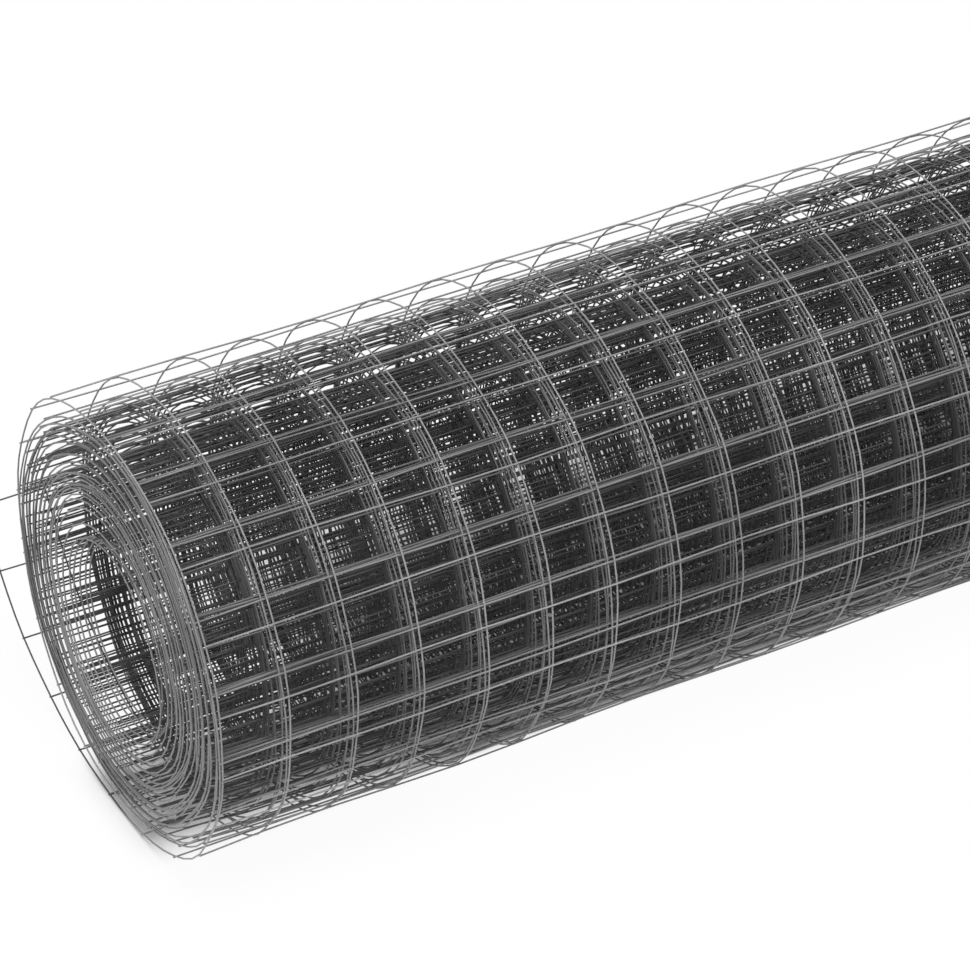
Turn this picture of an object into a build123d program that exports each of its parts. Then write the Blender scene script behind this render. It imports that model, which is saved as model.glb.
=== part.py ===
from build123d import *
import math
import os

# Driving sizes of the roll, in millimetres and degrees
roll_width = 1000.0
outer_radius = 82.0
bore_radius = 34.0
wire_diameter = 0.65
pack_turns = 26
groove_depth = 1.5
loose_gap = 8.0
flap_radius = 136.0
flap_lead_angle = 3.25
flap_sweep_angle = 59.5

# One layer of mesh is a line wire with a cross wire welded on it
mesh_thickness = 2 * wire_diameter
half_width = roll_width / 2

# The wound pack has settled inside the loose outer turn: it beds into the turn by one
# wire at the bottom and leaves the loose gap open at the top
loose_inner_radius = outer_radius - mesh_thickness
pack_bottom_reach = outer_radius - wire_diameter
pack_top_reach = loose_inner_radius - loose_gap
pack_radius = (pack_bottom_reach + pack_top_reach) / 2
pack_drop = (pack_bottom_reach - pack_top_reach) / 2
turn_pitch = (pack_radius - bore_radius - wire_diameter) / (pack_turns - 1)

# The free end leaves the outer turn on a tangent just before its lowest point and opens
# out behind the roll on a wider arc, angles counted from +Y towards +Z
leave_angle = -90 - flap_lead_angle
end_angle = leave_angle + flap_sweep_angle
centre_shift = flap_radius - outer_radius
flap_centre_y = -centre_shift * math.cos(math.radians(leave_angle))
flap_centre_z = -centre_shift * math.sin(math.radians(leave_angle))

# The outer turn's centre stands so that the roll rests on the floor, centred across it
flap_reach = flap_centre_y + flap_radius * math.cos(math.radians(end_angle))
turn_centre_y = (outer_radius - flap_reach) / 2
turn_centre_z = flap_radius - flap_centre_z
pack_centre_z = turn_centre_z - pack_drop

# Half of the pack's turned profile: each turn shows on the end as a ridge along its edge
# wire, with a groove between it and the next turn
end_points = [(-half_width, bore_radius)]
for turn in range(pack_turns):
    ridge_radius = bore_radius + wire_diameter / 2 + turn * turn_pitch
    end_points.append((-half_width, ridge_radius))
    if turn < pack_turns - 1:
        end_points.append((-half_width + groove_depth, ridge_radius + turn_pitch / 2))
end_points.append((-half_width, pack_radius))

pack_plane = Plane(origin=(0, turn_centre_y, pack_centre_z), x_dir=(1, 0, 0), z_dir=(0, -1, 0))
section_plane = Plane(origin=(-half_width, turn_centre_y, turn_centre_z), x_dir=(0, 1, 0), z_dir=(1, 0, 0))

with BuildPart() as mesh_roll:
    # Wound pack with its bore
    with BuildSketch(pack_plane):
        with BuildLine():
            Polyline((0, bore_radius), *end_points, (0, pack_radius))
            mirror(about=Plane.YZ)
        make_face()
    revolve(axis=Axis(pack_plane.origin, pack_plane.x_dir))

    # Loose outer turn around the pack
    with BuildSketch(section_plane):
        Circle(outer_radius)
        Circle(loose_inner_radius, mode=Mode.SUBTRACT)
    extrude(amount=roll_width)

    # Free end of the mesh
    with BuildSketch(section_plane):
        with BuildLine():
            flap_centre = (flap_centre_y, flap_centre_z)
            outside = CenterArc(flap_centre, flap_radius, leave_angle, flap_sweep_angle)
            inside = CenterArc(flap_centre, flap_radius - mesh_thickness, leave_angle, flap_sweep_angle)
            Line(outside @ 0, inside @ 0)
            Line(outside @ 1, inside @ 1)
        make_face()
    extrude(amount=roll_width)

mesh_roll.part.label = "mesh_roll"

os.makedirs("parts", exist_ok=True)
export_step(mesh_roll.part, "parts/mesh_roll.step")
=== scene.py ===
import bpy
import math
import numpy as np
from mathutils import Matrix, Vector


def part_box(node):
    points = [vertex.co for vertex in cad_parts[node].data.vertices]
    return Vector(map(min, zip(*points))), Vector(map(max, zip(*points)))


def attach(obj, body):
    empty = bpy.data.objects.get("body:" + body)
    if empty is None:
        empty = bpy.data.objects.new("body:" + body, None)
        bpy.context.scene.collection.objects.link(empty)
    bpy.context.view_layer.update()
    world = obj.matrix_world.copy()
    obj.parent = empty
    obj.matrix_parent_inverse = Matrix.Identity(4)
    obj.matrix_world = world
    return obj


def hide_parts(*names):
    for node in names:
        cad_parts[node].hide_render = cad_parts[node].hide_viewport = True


# Roll of welded wire mesh: every wire is modelled, in the place of the plain CAD roll.
# The mesh is one long strip. A point on it is found by how far it lies along the strip,
# from the free end on the floor to the inner end in the bore, and by its place along the roll (X).

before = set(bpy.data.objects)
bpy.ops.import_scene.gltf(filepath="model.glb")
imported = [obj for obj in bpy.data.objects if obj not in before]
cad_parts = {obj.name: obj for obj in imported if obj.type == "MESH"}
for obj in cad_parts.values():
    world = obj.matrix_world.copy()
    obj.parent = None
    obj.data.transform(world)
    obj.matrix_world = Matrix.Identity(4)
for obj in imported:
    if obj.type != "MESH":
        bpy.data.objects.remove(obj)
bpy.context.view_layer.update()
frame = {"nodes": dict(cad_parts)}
rollLow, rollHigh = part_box("mesh_roll")
mm = 0.001
fullWave = 6.283             # range of the waves' phases, in radians
print("frame loaded:", ", ".join(frame["nodes"]))

mesh = dict(
    pitch=25.0 * mm,         # between line wires
    crossPitch=25.4 * mm,    # between cross wires, along the strip
    wire=0.65 * mm,          # coated wire
    weldDepth=0.55 * mm,     # centre to centre where a cross wire is welded on a line wire
    stub=0.35 * mm,          # wire past the last crossing
    sides=5,                 # of a wire's section
    stepsPerPitch=3,         # of a line wire, between two cross wires
    stepsAcross=40,          # of a cross wire
    aim=0.4 * mm,            # half of the stretch of strip that gives its direction
    lineMeshes=4,            # joined meshes that the line wires make
    crossMeshes=2,           # and the cross wires
)

# Turns are counted inwards from the lowest point, where the free end leaves. Angles are in degrees
# from +Y towards +Z, radii in mm from the loose turn's centre to the line wires.
winding = dict(
    looseRadius=82.0,        # of the loose turn, outside its cross wires
    startAngle=266.75,
    turns=29.63,
    # the free end that opens out on the floor, from its edge, about where its cross wires lie
    freeEnd=((350.6, 112.8), (338.5, 106.4), (325.5, 100.4),
             (311.5, 93.6), (296.4, 87.2), (279.0, 81.8)),
    outerTurns=(
        ((266.75, 80.9), (225, 81.6), (200, 80.9), (175, 80.8), (150, 81.3), (110, 81.1), (85, 81.0),
         (60, 80.8), (45, 79.6), (30, 78.4), (8, 78.0), (-30, 78.0), (-60, 77.0), (-80, 75.8)),
        ((266.75, 74.9), (253, 75.3), (240, 76.6), (228, 78.0), (215, 79.2), (203, 79.6), (180, 79.2),
         (140, 79.3), (110, 78.4), (90, 76.9), (75, 75.3), (60, 74.3), (40, 73.8), (15, 74.2),
         (-10, 75.6), (-40, 75.8), (-70, 74.4)),
        ((266.75, 73.6), (252, 74.0), (238, 75.2), (225, 76.6), (212, 77.8), (200, 78.1), (180, 77.6),
         (140, 77.6), (110, 76.8), (85, 74.6), (60, 72.6), (30, 72.2), (0, 73.4), (-30, 74.2),
         (-60, 73.4), (-93.25, 72.3)),
    ),
    # the last turns round the bore: turns from the inner end, centre's shift in mm, radius in mm
    innerTurns=(
        (0.0, 2.4, -8.0, 32.8), (1.0, 2.4, -8.0, 33.7), (2.0, 2.4, -8.0, 34.6),
        (3.0, 2.4, -8.0, 35.5), (4.0, 2.5, -8.0, 36.4), (5.0, 2.6, -8.0, 37.4),
        (5.65, 2.6, -8.0, 38.4), (6.15, 1.6, -5.2, 41.2), (6.65, 1.2, -3.8, 43.2),
        (7.15, 1.0, -3.2, 44.8), (8.15, 0.8, -2.6, 47.4), (9.15, 0.6, -2.2, 49.4),
    ),
    # where the pack has sprung open: turn, angle, extra gap in mm, reach in turns, reach in degrees
    gaps=(
        (6.3, 345.0, 1.5, 0.20, 24.0),
        (9.2, 8.0, 1.7, 0.20, 22.0),
        (15.4, 315.0, 1.9, 0.20, 26.0),
        (19.2, 355.0, 1.3, 0.20, 18.0),
        (4.74, 172.0, 1.2, 0.20, 26.0),
        (5.74, 180.0, 1.5, 0.20, 26.0),
        (9.74, 165.0, 0.9, 0.25, 30.0),
        (12.4, 140.0, 0.9, 0.25, 34.0),
        (16.2, 160.0, 1.2, 0.25, 30.0),
        (8.1, 51.0, 2.2, 0.15, 20.0),
        (12.1, 51.0, 1.9, 0.15, 20.0),
    ),
    # the same, at the near end only
    nearGaps=(
        (3.64, 216.0, 4.4, 0.14, 17.0),
        (12.9, 232.0, 2.2, 0.20, 12.0),
    ),
    nearReach=45.0,          # how far they go in along the roll, mm
    crowding=0.25,           # how much closer the outer turns lie than the inner ones, at the front
    unevenness=0.26,         # how far the pack's turns lie in bunches
    bunchWaves=10,
    bunchPerTurn=(0.2, 0.5),  # fewest and most waves in a turn
    bunchLobes=3,            # fewer than this round the roll
    bunchEase=1.5,           # turns over which the bunches fade, towards the listed turns
    bunchWidths=(0.5, 2.4),  # narrowest and widest step, in even steps
    bendRadius=5.5,          # of the kink where the inner end hangs into the bore, mm
    bendAngle=42.0,
    bendSteps=40,
    tail=24.0,               # straight end after the kink, mm
    tailSteps=60,
    firstStep=0.5,           # of the kink, in degrees, and of the tail, in mm
    sunkTurns=5.6,           # turns round the bore that have slid in from the near end
    sunkStep=1.75,           # further for each turn, mm
    lineStep=0.0005,         # of the section line, in turns
    softSteps=43,            # of that line, over which it is smoothed
    seed=5,
)

# The loose turn touches the front and the top of the CAD box, which gives its centre
turnY = rollLow.y + winding["looseRadius"] * mm
turnZ = rollHigh.z - winding["looseRadius"] * mm


def curveThrough(places, values, wanted):
    places = np.asarray(places, float)
    values = np.asarray(values, float)
    slopes = np.gradient(values, places)
    left = np.clip(np.searchsorted(places, wanted) - 1, 0, len(places) - 2)
    width = places[left + 1] - places[left]
    t = np.clip((wanted - places[left]) / width, 0.0, 1.0)
    s = 1.0 - t
    fromLeft = (1 + 2 * t) * s * s * values[left] + t * s * s * width * slopes[left]
    fromRight = t * t * (1 + 2 * s) * values[left + 1] - t * t * s * width * slopes[left + 1]
    return fromLeft + fromRight


def turnAt(angle, count=0):
    return count + (winding["startAngle"] - angle) / 360.0


def angleAt(turn):
    return winding["startAngle"] - 360.0 * turn


def angleFrom(angle, middle):
    return (angle - middle + 180.0) % 360.0 - 180.0


def outerRadius(turn):
    points = [(turnAt(angle), radius) for angle, radius in winding["freeEnd"]]
    for count, turnPoints in enumerate(winding["outerTurns"]):
        points += [(turnAt(angle, count), radius) for angle, radius in turnPoints]
    places, radii = zip(*points)
    return curveThrough(places, radii, turn)


def innerRadius(turn):
    fromEnd, shiftY, shiftZ, radius = np.array(winding["innerTurns"]).T
    left = winding["turns"] - turn
    y = curveThrough(fromEnd, shiftY, left)
    z = curveThrough(fromEnd, shiftZ, left)
    r = curveThrough(fromEnd, radius, left)
    angle = np.radians(angleAt(turn))
    along = y * np.cos(angle) + z * np.sin(angle)
    return along + np.sqrt(r * r - y * y - z * z + along * along)


# Waves from turn to turn and round the roll, that draw the turns together in twos and threes
def bunching(turn):
    random = np.random.default_rng(winding["seed"])
    angle = np.radians(angleAt(turn))
    waves = np.zeros_like(turn)
    for wave in range(winding["bunchWaves"]):
        perTurn = random.uniform(*winding["bunchPerTurn"])
        lobes = random.integers(0, winding["bunchLobes"])
        phase = random.uniform(0.0, fullWave)
        waves += np.sin(2 * math.pi * perTurn * turn + lobes * angle + phase)
    return waves


# Radius of the winding at each turn: given outside and round the bore, and between them
# turns that share the room at their angle, less the gaps
def turnRadius(turn, gaps):
    setTurns = len(winding["outerTurns"])
    coreStart = winding["turns"] - winding["innerTurns"][-1][0]
    angle = angleAt(turn)
    above = setTurns - 1 + turn % 1.0
    below = coreStart + (turn - coreStart) % 1.0
    room = outerRadius(above) - innerRadius(below)
    opened = np.zeros_like(turn)
    for place, gapAngle, extra, turnReach, angleReach in gaps:
        off = angleFrom(angle, gapAngle)
        size = extra * np.exp(-0.5 * (off / angleReach) ** 2)
        room = room - size
        opened = opened + size * (0.5 + 0.5 * np.tanh((turn - place) / turnReach))
    count = np.round(turn - above)
    whole = np.round(below - above)
    crowding = winding["crowding"] * (0.5 - 0.5 * np.cos(np.radians(angle)))
    passed = np.zeros_like(turn)
    total = np.zeros_like(turn)
    for step in range(int(whole.max())):
        fromOuter = (step + 0.5) / whole
        free = np.clip(np.minimum(step + 0.5, whole - step - 0.5) / winding["bunchEase"], 0.0, 1.0)
        width = np.exp(winding["unevenness"] * free * bunching(above + step))
        width = np.clip(width, *winding["bunchWidths"]) * (1.0 - crowding + 2.0 * crowding * fromOuter)
        passed += width * (step < count)
        total += width * (step < whole)
    packed = outerRadius(above) - room * passed / total - opened
    radius = np.where(turn < setTurns, outerRadius(np.minimum(turn, setTurns)), packed)
    return np.where(turn > coreStart, innerRadius(np.maximum(turn, coreStart)), radius)


# The whole strip's section line, free end first, in metres, with the turn and the length at each point
# and the shift that the near end's own gaps give it
def sectionLine():
    turn = np.arange(turnAt(winding["freeEnd"][0][0]), winding["turns"], winding["lineStep"])
    angle = np.radians(angleAt(turn))
    soft = np.hanning(winding["softSteps"])[1:-1]
    spirals = []
    for gaps in (winding["gaps"], winding["gaps"] + winding["nearGaps"]):
        padded = np.pad(turnRadius(turn, gaps), len(soft) // 2, mode="reflect", reflect_type="odd")
        radius = np.convolve(padded, soft / soft.sum(), "valid") * mm
        spirals.append(np.c_[turnY + radius * np.cos(angle), turnZ + radius * np.sin(angle)])
    spiral = spirals[0]

    lastY, lastZ = spiral[-1] - spiral[-4]
    heading = math.atan2(lastZ, lastY)
    bend = np.radians(np.linspace(winding["firstStep"], winding["bendAngle"], winding["bendSteps"]))
    bendY = np.sin(heading - bend) - math.sin(heading)
    bendZ = math.cos(heading) - np.cos(heading - bend)
    kink = spiral[-1] - winding["bendRadius"] * mm * np.c_[bendY, bendZ]
    direction = np.array([math.cos(heading - bend[-1]), math.sin(heading - bend[-1])])
    tailSteps = np.linspace(winding["firstStep"], winding["tail"], winding["tailSteps"])
    tail = kink[-1] + direction * tailSteps[:, None] * mm

    line = np.r_[spiral, kink, tail]
    turns = np.r_[turn, np.full(len(kink) + len(tail), winding["turns"])]
    lengths = np.r_[0.0, np.cumsum(np.hypot(*np.diff(line, axis=0).T))]
    nearShift = np.zeros_like(line)
    nearShift[:len(spiral)] = spirals[1] - spiral
    return line, turns, lengths, nearShift


line, lineTurns, lengths, nearShift = sectionLine()


def lengthAt(turn):
    return np.interp(turn, lineTurns, lengths)


def turnOf(along):
    return np.interp(along, lengths, lineTurns)


# The outer turns have nested, so their cross wires lie side by side, and deeper ones fall evenly
# between them
nesting = dict(
    angle=160.0,             # on the front, where the turns are lined up
    backAngle=15.0,          # from here to the next turn's front the pitch makes up the difference
    restAngle=246.0,         # so it does from the free end to here, under the roll
    # how far each turn's cross wires lie below those of the first, in pitches
    below=(0.0, -0.300, -0.317, -0.335, 0.117, -0.267, -0.217, -0.167, -0.117),
    firstDeeper=0.15,
    deeper=0.382,            # from each deeper turn to the next
    turns=24,
    # slits that stay open near the top edge: direction, heights and half width in mm
    slitAngle=51.0,
    slits=(64.8, 57.7),
    slitHalf=1.6,
    slitTurn=0.9,            # the first turn that keeps out of them
    slitSlope=0.4,           # a cross wire moves out only where the strip crosses them more steeply
)


def crossWirePlaces():
    start, pitch = mesh["stub"], mesh["crossPitch"]
    turns = np.arange(nesting["turns"])
    marks = lengthAt(turnAt(nesting["angle"], turns))
    backs = lengthAt(turnAt(nesting["backAngle"], turns))
    deeperTurns = np.arange(nesting["turns"] - len(nesting["below"]))
    deeper = nesting["firstDeeper"] + nesting["deeper"] * deeperTurns
    wanted = np.r_[nesting["below"], deeper] + (marks[0] - start) / pitch
    counts = [wanted[0]]
    for turn in range(1, len(marks)):
        even = counts[-1] + (marks[turn] - marks[turn - 1]) / pitch
        counts.append(wanted[turn] + round(even - wanted[turn]))
    end = lengths[-1] - mesh["stub"]
    last = counts[-1] + (end - marks[-1]) / pitch
    free = len(winding["freeEnd"]) - 1
    leaves = lengthAt(turnAt(winding["freeEnd"][free][0]))
    rests = lengthAt(turnAt(nesting["restAngle"]))
    atRest = counts[0] - (marks[0] - rests) / pitch
    atBacks = counts + (backs - marks) / pitch
    passed = np.r_[0.0, free, atRest, np.c_[counts, atBacks].ravel(), last]
    known = np.r_[start, leaves, rests, np.c_[marks, backs].ravel(), end]
    places = np.interp(np.arange(int(last) + 1), passed, known)

    towards = np.radians(nesting["slitAngle"])
    height = ((line[:, 0] - turnY) * np.cos(towards) + (line[:, 1] - turnZ) * np.sin(towards)) / mm
    for slit in nesting["slits"]:
        off = np.interp(places, lengths, height) - slit
        slope = np.interp(places + mm, lengths, height) - np.interp(places - mm, lengths, height)
        steep = np.where(np.abs(slope) > nesting["slitSlope"], slope, np.inf)
        move = 2.0 * mm * (np.sign(off) * nesting["slitHalf"] - off) / steep
        inSlit = (np.abs(off) < nesting["slitHalf"]) & (turnOf(places) > nesting["slitTurn"])
        places = places + np.where(inSlit, move, 0.0)
    return places


crossPlaces = crossWirePlaces()
crossCount = len(crossPlaces)
stripLength = crossPlaces[-1] + mesh["stub"]
lineCount = round((rollHigh.x - rollLow.x - 2 * mesh["stub"]) / mesh["pitch"]) + 1
linePlaces = np.linspace(rollLow.x + mesh["stub"], rollHigh.x - mesh["stub"], lineCount)
print(f"strip of {stripLength:.2f} m: {lineCount} line wires, {crossCount} cross wires")

# Waves that keep the strip from lying like a drawn spiral, in mm: in and out, along the strip
# and along the roll
slack = dict(
    inOut=0.16,
    looseInOut=0.13,         # more of it on the loose turn and the free end
    looseLength=0.75,        # m
    alongRoll=0.20,
    waves=7,
    perRoll=(1.5, 9.0),      # their pace along the roll, slowest and fastest
    perStrip=(6.0, 34.0),    # and along the strip
    shiftPaces=(0.5, 1.3),   # of the waves along the roll, against those in and out
    ripple=0.17,             # short bends of the cross wires
    ripples=6,
    ripplePerRoll=(18.0, 62.0),
    ripplePerStrip=(25.0, 160.0),
    floorZone=(6.0, 26.0),   # heights between which the waves in and out begin
    fan=0.7,                 # of the outer turns' line wires, for each turn
    fanTurns=5.0,
    fanFade=6.0,             # turns after which it fades, over as many more
    sag=3.4,                 # of the pack behind the near end, down to the loose turn
    sagAngle=246.0,
    sagReach=20.0,
    sagStart=(0.75, 1.10),   # turns between which it begins
    sagTurns=16.0,           # over which it dies away
    seed=23,
)
random = np.random.default_rng(slack["seed"])


def drawWaves(count, perRoll, perStrip):
    waves = []
    for wave in range(count):
        rollPace = random.uniform(*perRoll)
        stripPace = random.uniform(*perStrip)
        phase = random.uniform(0.0, fullWave)
        otherPhase = random.uniform(0.0, fullWave)
        waves.append((rollPace, stripPace, phase, otherPhase))
    return waves


slackWaves = drawWaves(slack["waves"], slack["perRoll"], slack["perStrip"])
rippleWaves = drawWaves(slack["ripples"], slack["ripplePerRoll"], slack["ripplePerStrip"])


def risen(value, low, high):
    return np.clip((value - low) / (high - low), 0.0, 1.0)


# Place, outward direction and direction of travel on the strip, for any lengths and places along
# the roll
def onStrip(along, x):
    along, x = np.broadcast_arrays(along, x)
    step = mesh["aim"]
    y = np.interp(along, lengths, line[:, 0])
    z = np.interp(along, lengths, line[:, 1])
    dy = np.interp(along + step, lengths, line[:, 0]) - np.interp(along - step, lengths, line[:, 0])
    dz = np.interp(along + step, lengths, line[:, 1]) - np.interp(along - step, lengths, line[:, 1])
    size = np.hypot(dy, dz)
    zero = np.zeros_like(y)
    outward = np.stack([zero, -dz / size, dy / size], -1)
    travel = np.stack([zero, dy / size, dz / size], -1)
    inOut = np.zeros_like(y)
    shift = np.zeros_like(y)
    sway = np.zeros_like(y)
    shiftPerRoll, shiftPerStrip = slack["shiftPaces"]
    for perRoll, perStrip, phase, shiftPhase in slackWaves:
        inOut += np.sin(perRoll * x + perStrip * along + phase)
        shift += np.sin(shiftPerStrip * perStrip * along + shiftPerRoll * perRoll * x + shiftPhase)
    loose = slack["looseInOut"] * np.clip(1.0 - along / slack["looseLength"], 0.0, 1.0)
    inOut *= slack["inOut"] + loose
    for perRoll, perStrip, phase, swayPhase in rippleWaves:
        inOut += slack["ripple"] * np.sin(perRoll * x + perStrip * along + phase)
        sway += slack["ripple"] * np.sin(perRoll * x + perStrip * along + swayPhase)
    floorLow, floorHigh = slack["floorZone"]
    inOut *= risen(z, floorLow * mm, floorHigh * mm)  # what lies on the floor stays there
    turns = turnOf(along)
    turnsLeft = winding["turns"] - turns
    sunk = winding["sunkStep"] * np.clip(winding["sunkTurns"] - turnsLeft, 0.0, None)
    sunk *= (rollHigh.x - x) / (rollHigh.x - rollLow.x)  # none of it at the far end
    nearEnd = np.exp(-np.clip(x - rollLow.x, 0.0, None) / (winding["nearReach"] * mm))
    fan = slack["fan"] * np.clip(turns, 0.0, slack["fanTurns"])
    fan = fan * np.clip(2.0 - turns / slack["fanFade"], 0.0, 1.0)
    shift = slack["alongRoll"] * shift + sunk - fan * (1.0 - nearEnd)
    offSag = angleFrom(angleAt(turns), slack["sagAngle"])
    sagShare = np.exp(-0.5 * (offSag / slack["sagReach"]) ** 2)
    sag = slack["sag"] * sagShare * risen(turns, *slack["sagStart"])
    inOut += sag * np.clip(1.0 - (turns - 1.0) / slack["sagTurns"], 0.0, 1.0) * (1.0 - nearEnd)
    y = y + nearEnd * np.interp(along, lengths, nearShift[:, 0])
    z = z + nearEnd * np.interp(along, lengths, nearShift[:, 1])
    place = np.stack([x + shift * mm, y, z], -1)
    place = place + outward * inOut[..., None] * mm + travel * sway[..., None] * mm
    return place, outward, travel


# Share of painted light on the strip: lit all over outside the roll and on its end rings, painted shade
# inside
paintedShade = dict(
    turns=2.4,               # turns from the outside at which half of it is left
    freeEnd=0.12,            # painted shade all along it
    end=1.2 * mm,            # how far in it goes on the end rings
    shadeAtBackOfEnd=0.7,           # painted shade at the back of the end
    backAngle=-10.0,
    backTurns=(1.3, 16.0),   # share on the first turn, cut off at 1, and turns in which it falls by 1
)


# painted light: 1 on the lit outside and end rings, falling towards 0 for the painted shade inside
def paintedLightShare(along, x):
    along, x = np.broadcast_arrays(along, x)
    turn = turnOf(along)
    litOutside = np.where(turn > 0.0, 1.0 / (1.0 + (turn / paintedShade["turns"]) ** 2), paintedShade["freeEnd"])
    fromEnd = np.minimum(x - rollLow.x, rollHigh.x - x)
    atEnd = np.where(turn > 0.0, np.exp(-np.clip(fromEnd, 0.0, None) / paintedShade["end"]), 0.0)
    back = 0.5 + 0.5 * np.cos(np.radians(angleAt(turn) - paintedShade["backAngle"]))
    firstShare, fallTurns = paintedShade["backTurns"]
    back = back * np.clip(firstShare - turn / fallTurns, 0.0, 1.0)
    atEnd = atEnd * (1.0 - paintedShade["shadeAtBackOfEnd"] * back)
    return 1.0 - (1.0 - litOutside) * (1.0 - atEnd)


# Coating: satin grey plastic over steel wire, in a painted-shade copy inside the roll and a
# painted-light copy outside
coating = dict(
    shadedInside=((0.028, 0.028, 0.029, 1.0), (0.050, 0.050, 0.051, 1.0)),
    litOutside=((0.240, 0.240, 0.241, 1.0), (0.355, 0.355, 0.356, 1.0)),
    cloudScale=18.0,
    cloudDetail=4.0,
    cloudEdges=(0.32, 0.68),
    grainScale=1400.0,
    grainDetail=2.0,
    smoothest=0.34,
    roughest=0.52,
    grainBump=0.10,
    grainHeight=0.1 * mm,
)


def coatedWire():
    material = bpy.data.materials.new("coatedWire")
    material.use_nodes = True
    nodes = material.node_tree.nodes
    links = material.node_tree.links
    shader = nodes["Principled BSDF"]
    where = nodes.new("ShaderNodeTexCoord")

    clouds = nodes.new("ShaderNodeTexNoise")
    clouds.inputs["Scale"].default_value = coating["cloudScale"]
    clouds.inputs["Detail"].default_value = coating["cloudDetail"]
    links.new(where.outputs["Object"], clouds.inputs["Vector"])
    # painted shade: the share of painted light blends the shaded inside colour into the lit outside
    # colour
    paintedLitNode = nodes.new("ShaderNodeAttribute")
    paintedLitNode.attribute_name = "paintedLightShare"
    blend = nodes.new("ShaderNodeMix")
    blend.data_type = "RGBA"
    links.new(paintedLitNode.outputs["Fac"], blend.inputs["Factor"])
    for side, socket in (("shadedInside", "A"), ("litOutside", "B")):
        tint = nodes.new("ShaderNodeValToRGB")
        for element, edge, colour in zip(tint.color_ramp.elements, coating["cloudEdges"], coating[side]):
            element.position = edge
            element.color = colour
        links.new(clouds.outputs["Fac"], tint.inputs["Fac"])
        inputs = [one for one in blend.inputs if one.type == "RGBA" and one.name == socket]
        links.new(tint.outputs["Color"], inputs[0])
    outputs = [one for one in blend.outputs if one.type == "RGBA"]
    links.new(outputs[0], shader.inputs["Base Color"])

    grain = nodes.new("ShaderNodeTexNoise")
    grain.inputs["Scale"].default_value = coating["grainScale"]
    grain.inputs["Detail"].default_value = coating["grainDetail"]
    links.new(where.outputs["Object"], grain.inputs["Vector"])
    satin = nodes.new("ShaderNodeMapRange")
    satin.inputs["To Min"].default_value = coating["smoothest"]
    satin.inputs["To Max"].default_value = coating["roughest"]
    links.new(grain.outputs["Fac"], satin.inputs["Value"])
    links.new(satin.outputs["Result"], shader.inputs["Roughness"])
    bump = nodes.new("ShaderNodeBump")
    bump.inputs["Strength"].default_value = coating["grainBump"]
    bump.inputs["Distance"].default_value = coating["grainHeight"]
    links.new(grain.outputs["Fac"], bump.inputs["Height"])
    links.new(bump.outputs["Normal"], shader.inputs["Normal"])
    return material


# Bare steel where the wires were cut
cutSteel = dict(
    dark=(0.20, 0.20, 0.21, 1.0),
    light=(0.42, 0.42, 0.43, 1.0),
    scale=2600.0,
    roughness=0.46,
)


def cutWireEnd():
    material = bpy.data.materials.new("cutWireEnd")
    material.use_nodes = True
    nodes = material.node_tree.nodes
    links = material.node_tree.links
    shader = nodes["Principled BSDF"]
    shader.inputs["Metallic"].default_value = 1.0
    shader.inputs["Roughness"].default_value = cutSteel["roughness"]
    where = nodes.new("ShaderNodeTexCoord")
    shear = nodes.new("ShaderNodeTexNoise")
    shear.inputs["Scale"].default_value = cutSteel["scale"]
    links.new(where.outputs["Object"], shear.inputs["Vector"])
    tint = nodes.new("ShaderNodeValToRGB")
    tint.color_ramp.elements[0].color = cutSteel["dark"]
    tint.color_ramp.elements[1].color = cutSteel["light"]
    links.new(shear.outputs["Fac"], tint.inputs["Fac"])
    links.new(tint.outputs["Color"], shader.inputs["Base Color"])
    return material


wireMaterials = [coatedWire(), cutWireEnd()]


# One mesh object from points and groups of like faces: (corner numbers, smooth, material number)
def meshPiece(name, points, faceGroups, paintedLit):
    data = bpy.data.meshes.new(name)
    data.vertices.add(len(points))
    data.vertices.foreach_set("co", np.ascontiguousarray(points, np.float32).ravel())
    sizes = np.concatenate([np.full(len(faces), faces.shape[1]) for faces, smooth, number in faceGroups])
    data.loops.add(int(sizes.sum()))
    corners = np.concatenate([faces.ravel() for faces, smooth, number in faceGroups])
    data.loops.foreach_set("vertex_index", corners)
    data.polygons.add(len(sizes))
    data.polygons.foreach_set("loop_start", np.r_[0, np.cumsum(sizes)[:-1]])
    smoothFaces = np.concatenate([np.full(len(faces), smooth) for faces, smooth, number in faceGroups])
    numbers = np.concatenate([np.full(len(faces), number) for faces, smooth, number in faceGroups])
    for material in wireMaterials:
        data.materials.append(material)
    data.polygons.foreach_set("use_smooth", smoothFaces)
    data.polygons.foreach_set("material_index", numbers)
    # share of painted light on each point, which paints shade on the coating inside the roll
    data.attributes.new("paintedLightShare", "FLOAT", "POINT").data.foreach_set("value", np.float32(paintedLit).ravel())
    data.update(calc_edges=True)
    data.validate()
    piece = bpy.data.objects.new(name, data)
    bpy.context.scene.collection.objects.link(piece)
    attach(piece, "root")
    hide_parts("mesh_roll")
    data.calc_loop_triangles()
    print(f"{name}: {len(data.loop_triangles)} triangles")


# Round wires as one joined mesh. centres, sideways and outward are arrays of wire, step and axis
def wirePiece(name, centres, sideways, outward, paintedLit):
    radius = mesh["wire"] / 2
    sides = mesh["sides"]
    wires, steps = centres.shape[:2]
    turnRound = 2 * math.pi * np.arange(sides) / sides
    across = np.cos(turnRound)[:, None] * sideways[:, :, None, :]
    across = across + np.sin(turnRound)[:, None] * outward[:, :, None, :]
    points = (centres[:, :, None, :] + radius * across).reshape(-1, 3)
    number = np.arange(wires * steps * sides).reshape(wires, steps, sides)
    after = np.roll(number, -1, axis=2)
    walls = np.stack([number[:, :-1], after[:, :-1], after[:, 1:], number[:, 1:]], -1).reshape(-1, 4)
    ends = np.concatenate([number[:, 0, ::-1], number[:, -1]])
    meshPiece(name, points, [(walls, True, 0), (ends, False, 1)], np.repeat(paintedLit.ravel(), sides))


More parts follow.
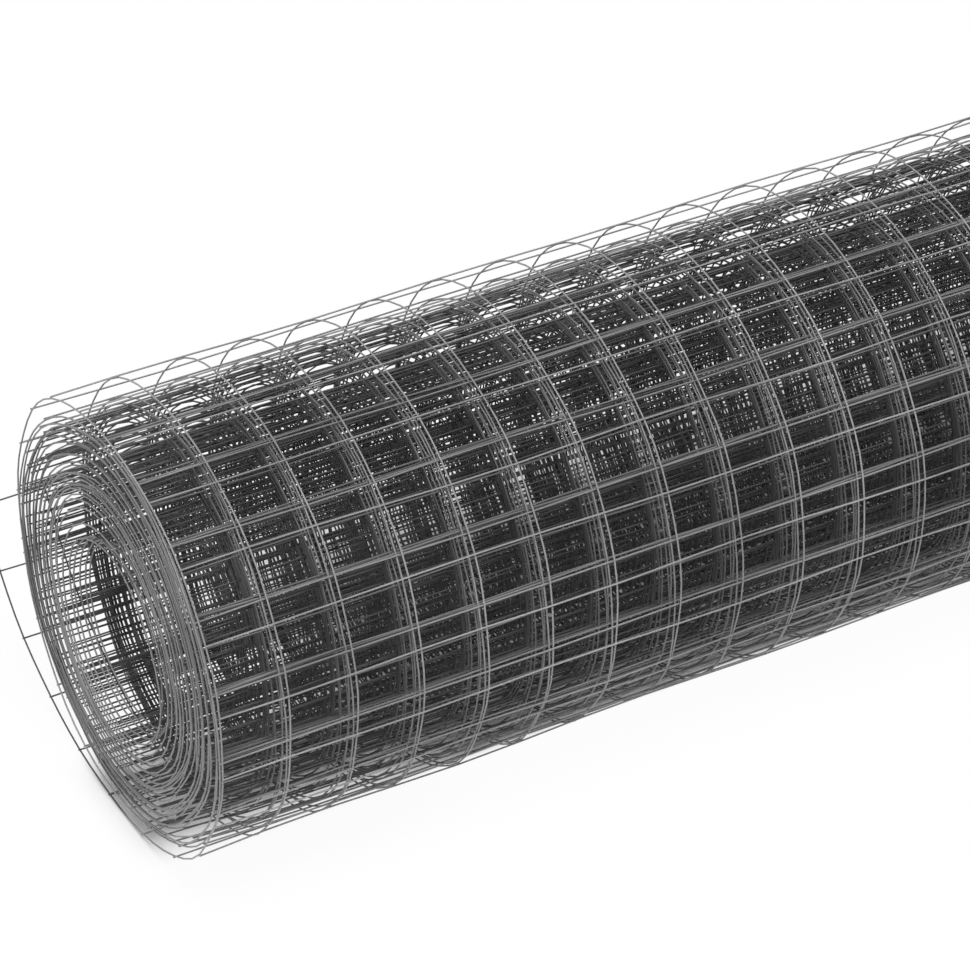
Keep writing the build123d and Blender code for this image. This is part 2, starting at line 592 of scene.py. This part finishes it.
# Line wires run round the roll
def lineWires():
    steps = np.arange((crossCount - 1) * mesh["stepsPerPitch"] + 1) / mesh["stepsPerPitch"]
    along = np.r_[0.0, np.interp(steps, np.arange(crossCount), crossPlaces), stripLength]
    for count, places in enumerate(np.array_split(linePlaces, mesh["lineMeshes"])):
        centres, outward, travel = onStrip(along[None, :], places[:, None])
        sideways = np.cross(outward, travel)
        # painted light and shade of the coating along each line wire
        paintedLit = paintedLightShare(along[None, :], places[:, None])
        wirePiece(f"lineWires_{count + 1}", centres, sideways, outward, paintedLit)


# Cross wires run along the roll, welded on the outside of the line wires
def crossWires():
    x = np.linspace(rollLow.x, rollHigh.x, mesh["stepsAcross"] + 1)
    for count, places in enumerate(np.array_split(crossPlaces, mesh["crossMeshes"])):
        centres, outward, travel = onStrip(places[:, None], x[None, :])
        centres = centres + outward * mesh["weldDepth"]
        # painted light and shade of the coating on the cross wires
        paintedLit = paintedLightShare(places[:, None], np.zeros_like(x)[None, :])  # as in the middle of the roll
        wirePiece(f"crossWires_{count + 1}", centres, travel, outward, paintedLit)


# A bead of coating covers each weld: four points round it and two poles
bead = dict(width=0.92 * mm, depth=1.26 * mm)


def weldBeads():
    place, outward, travel = onStrip(crossPlaces[:, None], linePlaces[None, :])
    middle = (place + outward * mesh["weldDepth"] / 2).reshape(-1, 1, 3)
    outward = outward.reshape(-1, 3)
    travel = travel.reshape(-1, 3)
    sideways = np.cross(outward, travel)
    spread = np.stack([sideways, travel, -sideways, -travel], 1) * bead["width"] / 2
    poles = np.stack([outward, -outward], 1) * bead["depth"] / 2
    points = (middle + np.concatenate([spread, poles], 1)).reshape(-1, 3)
    pointsEach = spread.shape[1] + poles.shape[1]
    first = pointsEach * np.arange(len(middle))[:, None]
    corners = [(a, (a + 1) % 4, 4) for a in range(4)] + [((a + 1) % 4, a, 5) for a in range(4)]
    faces = np.concatenate([first + np.array(corner) for corner in corners])
    # painted light and shade of the coating on the beads
    paintedLit = np.repeat(paintedLightShare(crossPlaces[:, None], linePlaces[None, :]).ravel(), pointsEach)
    meshPiece("weldBeads", points, [(faces, True, 0)], paintedLit)


lineWires()
crossWires()
weldBeads()

# Floor: white to the camera, with part of its brightness from the light so that the shadow stays,
# nearly all of it under the roll
floor = dict(
    size=14.0,
    white=(0.97, 0.97, 0.97, 1.0),
    roughness=0.9,
    # shade under the near end, then under the rest: its middle behind the line that the roll rests on,
    # and the share of glow at two distances from there
    shades=(
        (0.004, (0.012, 0.10), (0.038, 0.95)),
        (0.060, (0.086, 0.05), (0.092, 0.97)),
    ),
    nearEnd=(0.060, 0.130),  # from the near end, where one goes over to the other
    beyond=(-0.004, 0.012),  # from either end, where the shade goes over to the floor beyond the roll
    beyondGlow=0.97,
)


# 1 where the camera sees the floor or the room, straight or in a reflection, and 0 where they
# light the roll
def seenWhite(nodes, links):
    path = nodes.new("ShaderNodeLightPath")
    seen = nodes.new("ShaderNodeMath")
    seen.operation = "MAXIMUM"
    links.new(path.outputs["Is Camera Ray"], seen.inputs[0])
    links.new(path.outputs["Is Glossy Ray"], seen.inputs[1])
    through = nodes.new("ShaderNodeMath")
    through.operation = "MAXIMUM"
    links.new(seen.outputs["Value"], through.inputs[0])
    links.new(path.outputs["Is Transmission Ray"], through.inputs[1])
    return through.outputs["Value"]


def easedRange(nodes, fromMin, fromMax):
    eased = nodes.new("ShaderNodeMapRange")
    eased.interpolation_type = "SMOOTHSTEP"
    eased.inputs["From Min"].default_value = fromMin
    eased.inputs["From Max"].default_value = fromMax
    return eased


def whiteFloor():
    bpy.ops.object.select_all(action="DESELECT")
    bpy.ops.mesh.primitive_plane_add(size=floor["size"], location=(0.0, 0.0, 0.0))
    plane = bpy.context.object
    plane.name = "whiteFloor"
    material = bpy.data.materials.new("whiteFloor")
    material.use_nodes = True
    nodes = material.node_tree.nodes
    links = material.node_tree.links
    paper = nodes["Principled BSDF"]
    paper.inputs["Base Color"].default_value = floor["white"]
    paper.inputs["Roughness"].default_value = floor["roughness"]
    glow = nodes.new("ShaderNodeEmission")
    where = nodes.new("ShaderNodeTexCoord")
    axes = nodes.new("ShaderNodeSeparateXYZ")
    links.new(where.outputs["Object"], axes.inputs["Vector"])
    inward = easedRange(nodes, rollLow.x + floor["nearEnd"][0], rollLow.x + floor["nearEnd"][1])
    links.new(axes.outputs["X"], inward.inputs["Value"])
    share = nodes.new("ShaderNodeMix")
    links.new(inward.outputs["Result"], share.inputs["Factor"])
    for (middle, near, far), socket in zip(floor["shades"], ("A", "B")):
        acrossRoll = nodes.new("ShaderNodeMath")
        acrossRoll.operation = "SUBTRACT"
        acrossRoll.inputs[1].default_value = turnY + middle
        links.new(axes.outputs["Y"], acrossRoll.inputs[0])
        distance = nodes.new("ShaderNodeMath")
        distance.operation = "ABSOLUTE"
        links.new(acrossRoll.outputs["Value"], distance.inputs[0])
        rise = easedRange(nodes, near[0], far[0])
        rise.inputs["To Min"].default_value = near[1]
        rise.inputs["To Max"].default_value = far[1]
        links.new(distance.outputs["Value"], rise.inputs["Value"])
        links.new(rise.outputs["Result"], share.inputs[socket])
    alongRoll = nodes.new("ShaderNodeMath")
    alongRoll.operation = "ABSOLUTE"
    links.new(axes.outputs["X"], alongRoll.inputs[0])
    beyond = easedRange(nodes, rollHigh.x + floor["beyond"][0], rollHigh.x + floor["beyond"][1])
    beyond.inputs["To Max"].default_value = floor["beyondGlow"]
    links.new(alongRoll.outputs["Value"], beyond.inputs["Value"])
    links.new(share.outputs["Result"], beyond.inputs["To Min"])
    part = nodes.new("ShaderNodeMath")
    part.operation = "MULTIPLY"
    links.new(seenWhite(nodes, links), part.inputs[0])
    links.new(beyond.outputs["Result"], part.inputs[1])
    mix = nodes.new("ShaderNodeMixShader")
    links.new(part.outputs["Value"], mix.inputs["Fac"])
    links.new(paper.outputs["BSDF"], mix.inputs[1])
    links.new(glow.outputs["Emission"], mix.inputs[2])
    links.new(mix.outputs["Shader"], nodes["Material Output"].inputs["Surface"])
    plane.data.materials.append(material)


whiteFloor()

# Soft studio light: a dim room, a broad key light from above and in front, and a weak fill from
# the near end
studio = dict(
    room=0.06,
    # name, direction that it comes from, degrees across, strength
    lamps=(
        ("keyLight", (-0.2, -0.75, 2.0), 30.0, 2.8),
        ("fillLight", (-1.6, -0.3, 1.0), 40.0, 0.8),
    ),
)


def softLight():
    world = bpy.data.worlds.new("whiteRoom")
    bpy.context.scene.world = world
    world.use_nodes = True
    nodes = world.node_tree.nodes
    links = world.node_tree.links
    sky = nodes["Background"]
    sky.inputs["Color"].default_value = (1.0, 1.0, 1.0, 1.0)
    level = nodes.new("ShaderNodeMapRange")
    level.inputs["To Min"].default_value = studio["room"]
    level.inputs["To Max"].default_value = 1.0
    links.new(seenWhite(nodes, links), level.inputs["Value"])
    links.new(level.outputs["Result"], sky.inputs["Strength"])
    for name, place, across, strength in studio["lamps"]:
        bpy.ops.object.light_add(type="SUN", location=place)
        lamp = bpy.context.object
        lamp.name = name
        lamp.data.angle = math.radians(across)
        lamp.data.energy = strength
        lamp.rotation_euler = lamp.location.to_track_quat("Z", "Y").to_euler()


softLight()
print("floor and light set")

# Camera, placed from the loose turn's centre on the near edge line wire
view = dict(
    away=(-488.3 * mm, -1120.0 * mm, 922.7 * mm),
    elevation=35.385,
    azimuth=-29.4535,
    lens=167.32,
    sensor=36.0,
    clipEnd=60.0,
)


def photoCamera():
    nearEnd = (float(linePlaces[0]), turnY, turnZ)
    place = [a + b for a, b in zip(nearEnd, view["away"])]
    turned = (math.radians(90.0 - view["elevation"]), 0.0, math.radians(view["azimuth"]))
    bpy.ops.object.camera_add(location=place, rotation=turned)
    camera = bpy.context.object
    camera.name = "photoCamera"
    camera.data.lens = view["lens"]
    camera.data.sensor_width = view["sensor"]
    camera.data.clip_end = view["clipEnd"]
    bpy.context.scene.camera = camera


photoCamera()
bpy.context.scene.view_settings.view_transform = "Standard"
